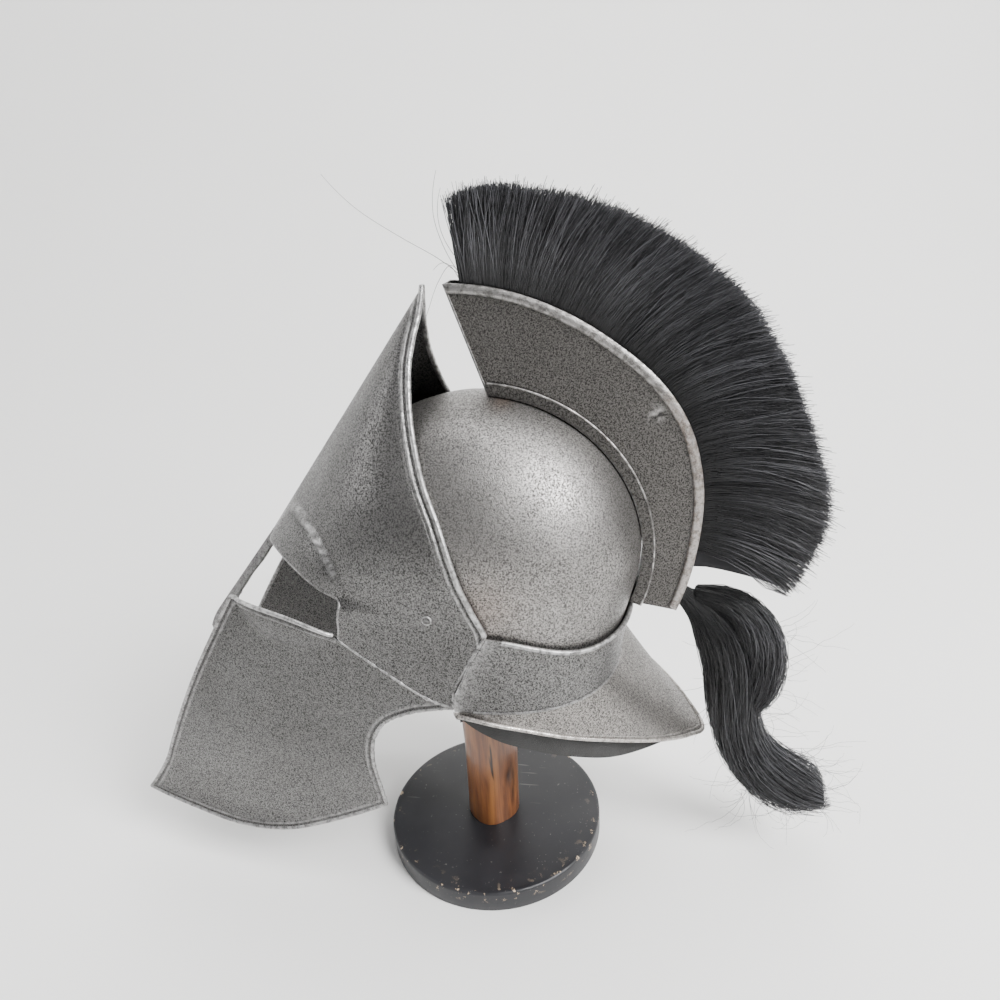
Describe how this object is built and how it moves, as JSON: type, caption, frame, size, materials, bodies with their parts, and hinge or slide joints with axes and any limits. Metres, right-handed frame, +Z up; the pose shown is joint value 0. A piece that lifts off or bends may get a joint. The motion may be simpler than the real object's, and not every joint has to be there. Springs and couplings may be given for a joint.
{
  "type": "greek crested helmet on a stand",
  "caption": "Crested Greek helmet of welded sheet steel: keeled face plate, cheek plates, neck guard and black horsehair brush with a hanging hank, on a plain round stand.",
  "frame": {"origin": "centre of the underside of the stand's base", "axes": "+Z up; -Y is where the helmet faces; X = 0 is the helmet's plane of symmetry and +X its wearer's left"},
  "size_m": [0.199, 0.5582, 0.516],
  "materials": {
    "steel_bowl": "antiqued hammertone finish, satin, with a fine dark speckle",
    "steel_plate": "antiqued hammertone finish, satin, with a fine dark speckle, rolled edges rubbed bright",
    "steel_guard": "antiqued hammertone finish, satin, with a fine dark speckle, slightly golden at the edge",
    "steel_crest": "antiqued hammertone finish, satin, with a fine dark speckle, with one chip",
    "black_leather": "matt black leather",
    "horsehair": "stiff black horsehair with a cool sheen",
    "stand_paint": "satin black paint over wood, chipped at the edge",
    "stand_wood": "varnished reddish brown branch wood"
  },
  "bodies": {
    "root": {"stand_base": "stand_paint", "stand_post": "stand_wood", "bowl": "steel_bowl", "face_plate": "steel_plate", "cheek_left": "steel_plate", "cheek_right": "steel_plate", "neck_band": "steel_plate", "neck_guard": "steel_guard", "liner": "black_leather", "rivet_left": "steel_plate", "rivet_right": "steel_plate", "crest_holder": "steel_crest", "crest_rail": "steel_crest", "plume": "horsehair", "plume_tail": "horsehair"}
  },
  "joints": []
}
